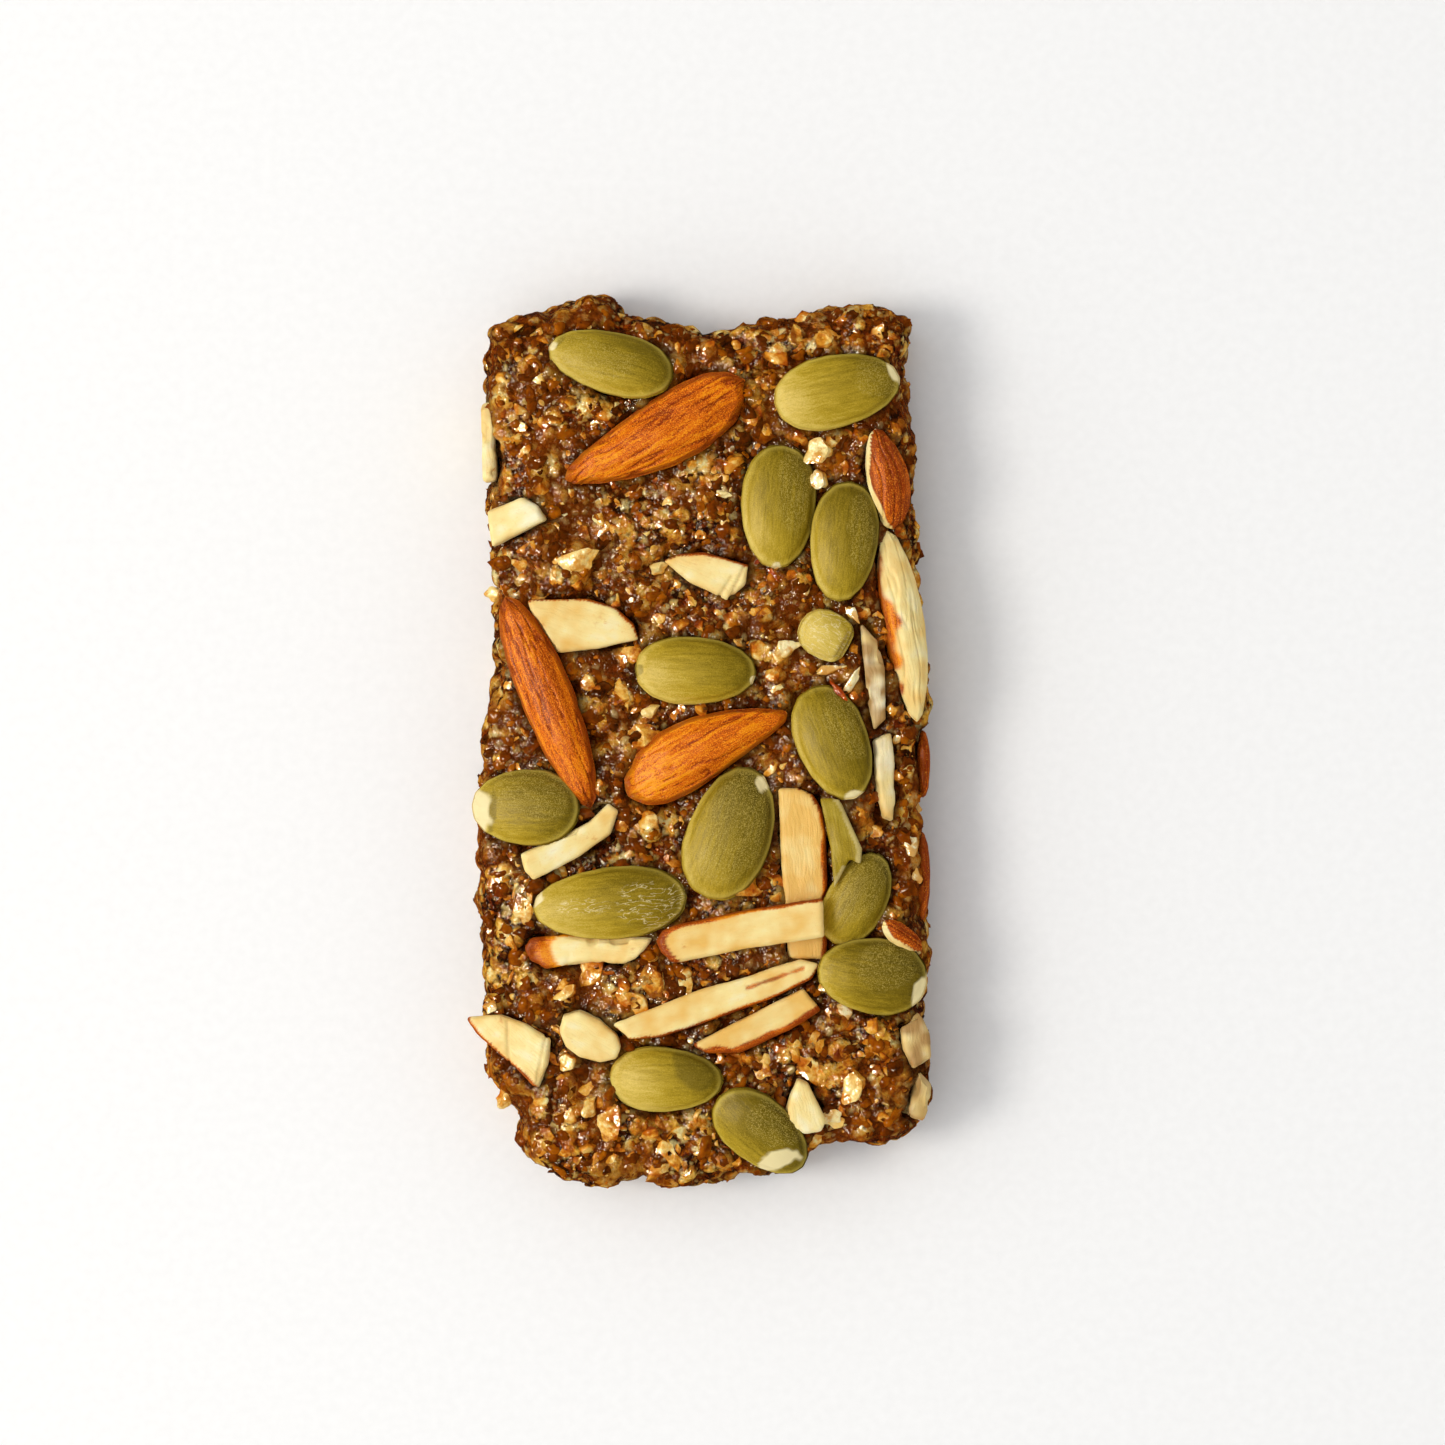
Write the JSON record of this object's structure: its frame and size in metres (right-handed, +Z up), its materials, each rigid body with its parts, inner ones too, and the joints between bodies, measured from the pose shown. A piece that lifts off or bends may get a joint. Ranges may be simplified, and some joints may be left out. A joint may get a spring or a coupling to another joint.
{
  "type": "granola bar",
  "caption": "Flat rectangular granola bar with a craggy, sticky slab and whole pumpkin seeds, half almonds and almond slivers pressed into its top and long sides.",
  "frame": {"origin": "centre of the whole bar's box, on the flat underside that it lies on", "axes": "+Y along the bar's length, +X across its width, +Z up through the face with the toppings"},
  "size_m": [0.0522, 0.1002, 0.0151],
  "materials": {
    "granola": "sticky syrup-bound flakes and granules: glossy brown with golden and tan grains",
    "seed_green": "satin olive green seed skin with a thin pale rim",
    "almond_skin": "dry orange-brown nut skin with lengthwise grooves",
    "almond_flesh": "cream cut nut flesh, satin, with thin brown skin along its edges"
  },
  "bodies": {
    "root": {"granola_slab": "granola", "pumpkin_seed_01": "seed_green", "pumpkin_seed_02": "seed_green", "pumpkin_seed_03": "seed_green", "pumpkin_seed_04": "seed_green", "pumpkin_seed_05": "seed_green", "pumpkin_seed_06": "seed_green", "pumpkin_seed_07": "seed_green", "pumpkin_seed_08": "seed_green", "pumpkin_seed_09": "seed_green", "pumpkin_seed_10": "seed_green", "pumpkin_seed_11": "seed_green", "pumpkin_seed_12": "seed_green", "pumpkin_seed_13": "seed_green", "pumpkin_seed_stump": "seed_green", "almond_half_1": "almond_skin", "almond_half_2": "almond_skin", "almond_half_3": "almond_skin", "almond_edge_1": "almond_skin", "almond_edge_2": "almond_skin", "almond_edge_3": "almond_skin", "almond_wall_1": "almond_skin", "almond_wall_2": "almond_skin", "sliver_cross": "almond_flesh", "sliver_slab": "almond_flesh", "sliver_blade": "almond_flesh", "sliver_low": "almond_flesh", "sliver_round": "almond_flesh", "sliver_stick": "almond_flesh", "sliver_under": "almond_flesh", "sliver_corner": "almond_flesh", "sliver_wedge": "almond_flesh", "sliver_pale": "almond_flesh", "sliver_narrow": "almond_flesh", "chip_overhang": "almond_flesh", "chip_nugget": "almond_flesh", "chip_small": "almond_flesh", "chip_edge_1": "almond_flesh", "chip_edge_2": "almond_flesh", "sliver_wall": "almond_flesh", "seed_skin": "seed_green"}
  },
  "joints": []
}
